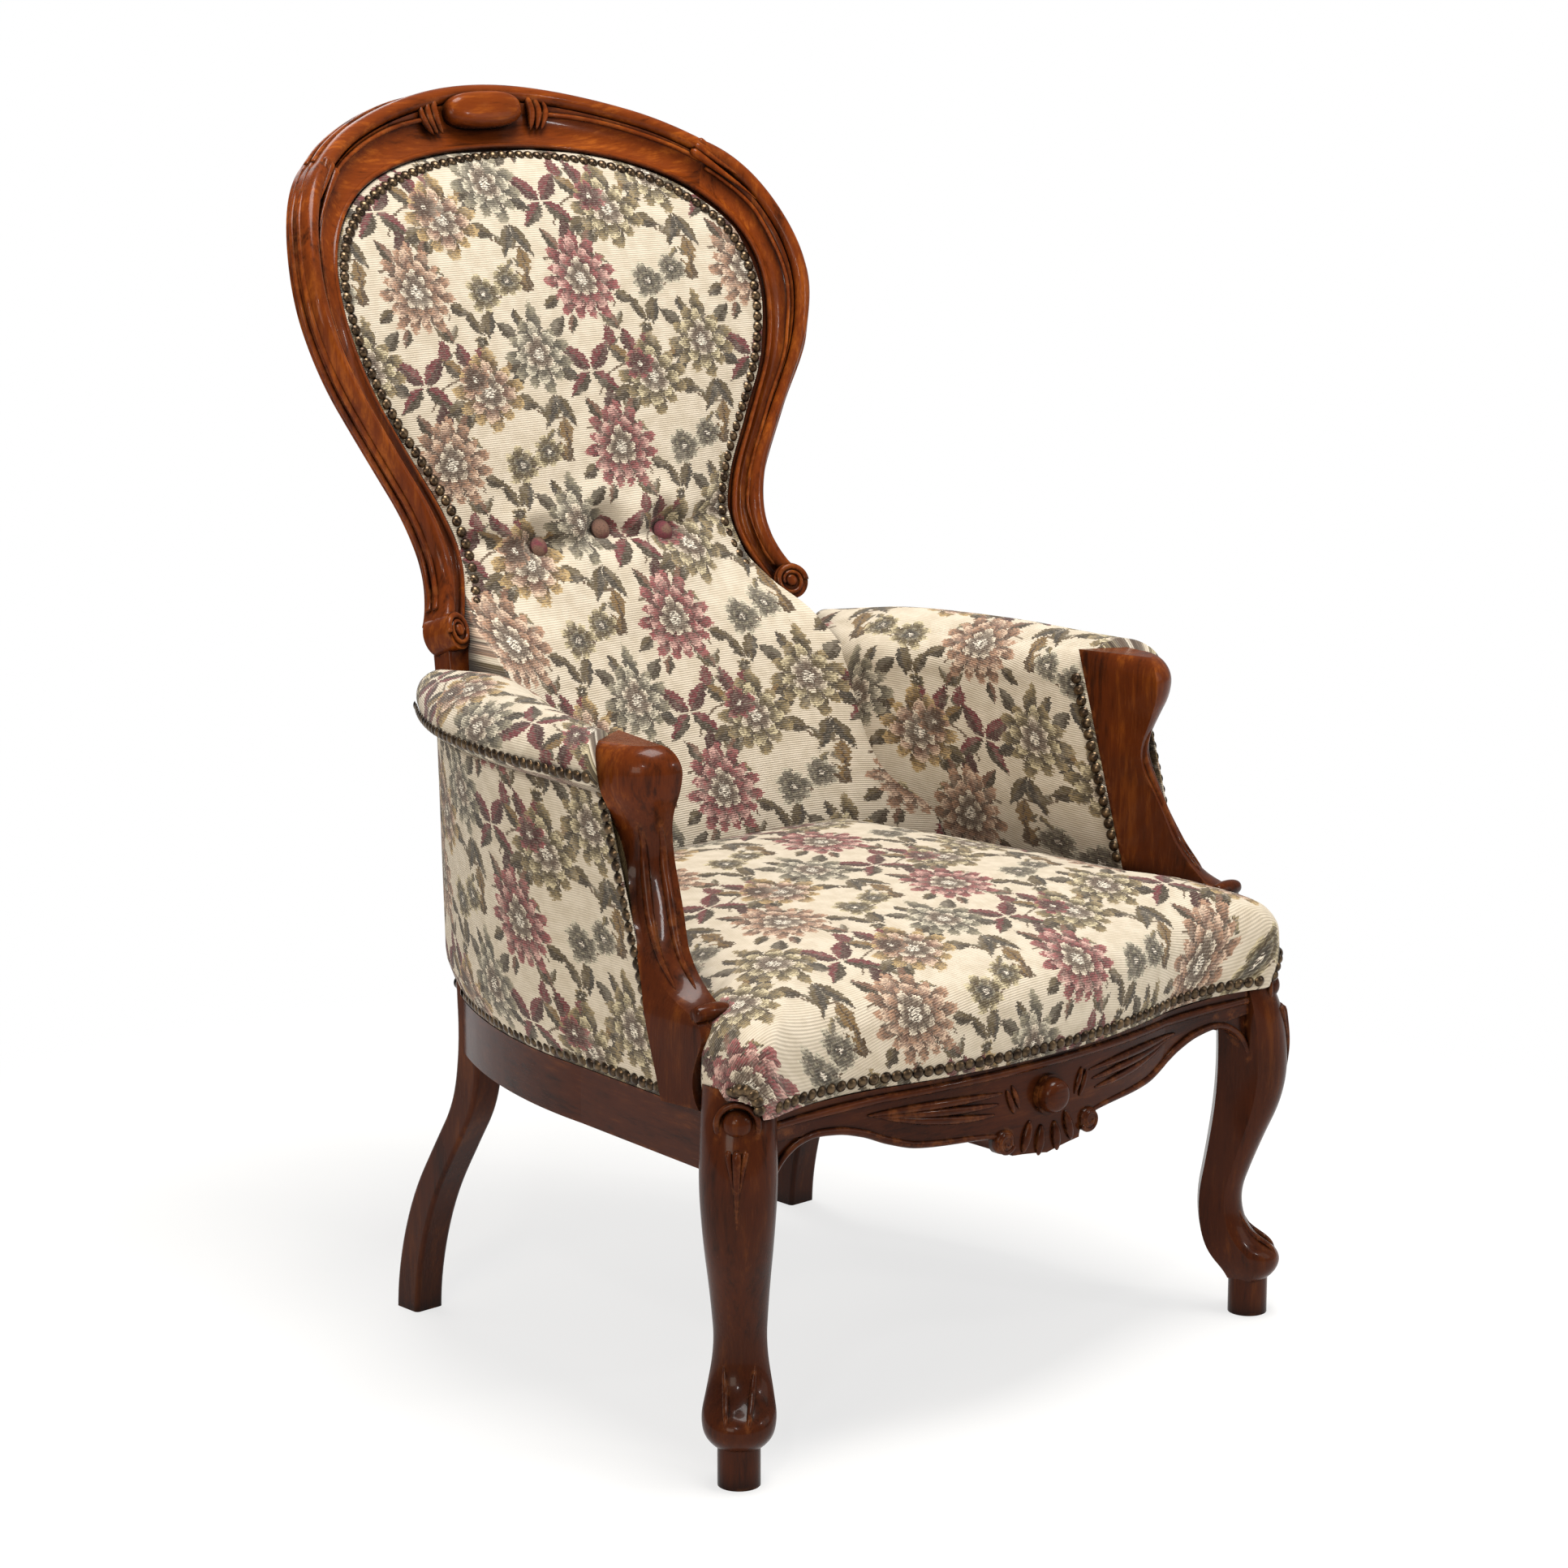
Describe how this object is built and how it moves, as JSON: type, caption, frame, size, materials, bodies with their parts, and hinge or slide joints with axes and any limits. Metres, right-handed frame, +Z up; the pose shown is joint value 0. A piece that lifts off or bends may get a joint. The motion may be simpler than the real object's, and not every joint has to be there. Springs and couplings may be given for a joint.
{
  "type": "bergere armchair",
  "caption": "Upholstered bergere armchair with a carved show-wood frame, reclined spoon-shaped back, padded barrel arms, sprung seat, cabriole front legs and sabre rear legs.",
  "frame": {"origin": "on the floor, below the middle of the chair's bounding box", "axes": "+Z up, -Y towards the front of the seat, +X to the side"},
  "size_m": [0.6846, 0.7752, 1.0771],
  "materials": {
    "show_wood": "satin, red-brown stain",
    "frame_wood": "raw",
    "tapestry": "ribbed floral tapestry",
    "stuffing": "fibre and wadding",
    "hessian": "woven jute",
    "dust_cloth": "thin black cloth",
    "nail": "antique",
    "spring_steel": "bright wire"
  },
  "bodies": {
    "root": {"arm_cover_left": "tapestry", "arm_cover_right": "tapestry", "arm_hessian_left": "hessian", "arm_hessian_right": "hessian", "arm_nails_left": "nail", "arm_nails_right": "nail", "arm_pad_left": "stuffing", "arm_pad_right": "stuffing", "arm_post_left": "show_wood", "arm_post_right": "show_wood", "arm_rail_left": "frame_wood", "arm_rail_right": "frame_wood", "back_buttons": "tapestry", "back_cover": "tapestry", "back_nails": "nail", "back_rail": "show_wood", "back_rail_nails": "nail", "back_stile_left": "show_wood", "back_stile_right": "show_wood", "back_stuffing": "stuffing", "back_webbing": "hessian", "corner_block_screws": "spring_steel", "corner_blocks": "frame_wood", "crest_rail": "show_wood", "dust_cover": "dust_cloth", "frame_dowels": "frame_wood", "front_leg_left": "show_wood", "front_leg_right": "show_wood", "front_rail": "show_wood", "lower_back_rail": "frame_wood", "outside_arm_panel_left": "tapestry", "outside_arm_panel_right": "tapestry", "outside_back_panel": "tapestry", "post_nails_left": "nail", "post_nails_right": "nail", "rail_nails_left": "nail", "rail_nails_right": "nail", "rear_leg_left": "show_wood", "rear_leg_right": "show_wood", "seat_cover": "tapestry", "seat_front_nails": "nail", "seat_hessian": "hessian", "seat_springs": "spring_steel", "seat_stuffing": "stuffing", "seat_webbing": "hessian", "side_rail_left": "show_wood", "side_rail_right": "show_wood"}
  },
  "joints": []
}
